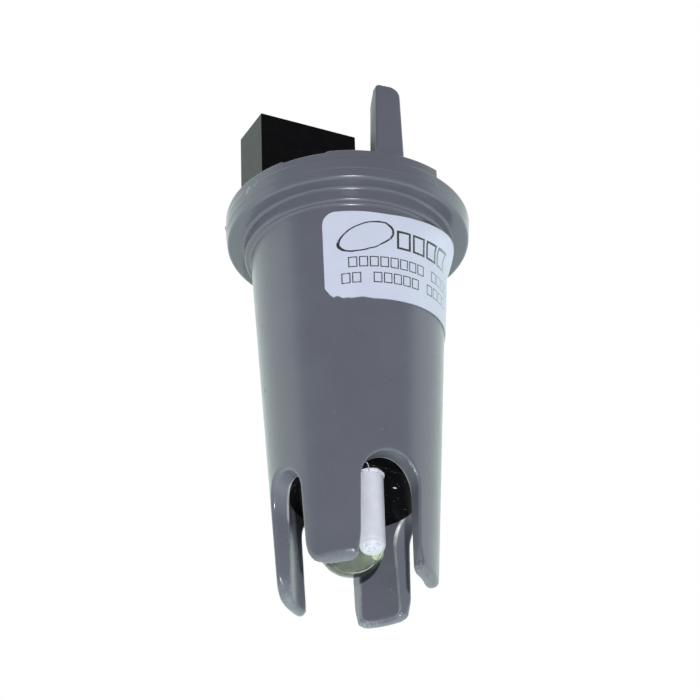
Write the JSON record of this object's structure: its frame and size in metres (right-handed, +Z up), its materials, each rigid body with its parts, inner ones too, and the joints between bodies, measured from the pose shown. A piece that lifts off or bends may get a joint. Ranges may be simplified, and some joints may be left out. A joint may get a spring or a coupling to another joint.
{
  "type": "ph electrode",
  "caption": "Plug-in pH electrode cartridge: tapered grey barrel with a slotted cage around a glass bulb and a junction rod, a flange with a key tab, and a socket connector.",
  "frame": {"origin": "on the barrel axis, in the plane of the four prong tips", "axes": "+Z up along the barrel axis towards the connector; the key tab is on the -Y side, the connector is shifted towards -X, and the cage slots face -Y, +X, +Y and -X"},
  "size_m": [0.0242, 0.0242, 0.0511],
  "materials": {
    "grey_plastic": "satin moulded",
    "black_plastic": "glossy moulded",
    "seal_rubber": "matte",
    "glass": "clear blown",
    "silver": "drawn silver wire with a dark coating",
    "gold_plate": "gold-plated spring metal",
    "porous_white": "porous, slightly shiny",
    "board_green": "satin solder resist",
    "lead_insulation": "satin",
    "label_paper": "coated, slightly worn"
  },
  "bodies": {
    "root": {"body_shell": "grey_plastic", "end_plug": "black_plastic", "glass_tube": "glass", "junction_rod": "porous_white", "chamber_seal": "seal_rubber", "tube_stopper": "seal_rubber", "bulb_wire": "silver", "reference_wire": "silver", "bulb_lead": "lead_insulation", "reference_lead": "lead_insulation", "circuit_board": "board_green", "connector_housing": "black_plastic", "contact_1": "gold_plate", "contact_2": "gold_plate", "contact_3": "gold_plate", "contact_4": "gold_plate", "contact_5": "gold_plate", "contact_6": "gold_plate", "contact_7": "gold_plate", "contact_8": "gold_plate", "label": "label_paper"}
  },
  "joints": []
}
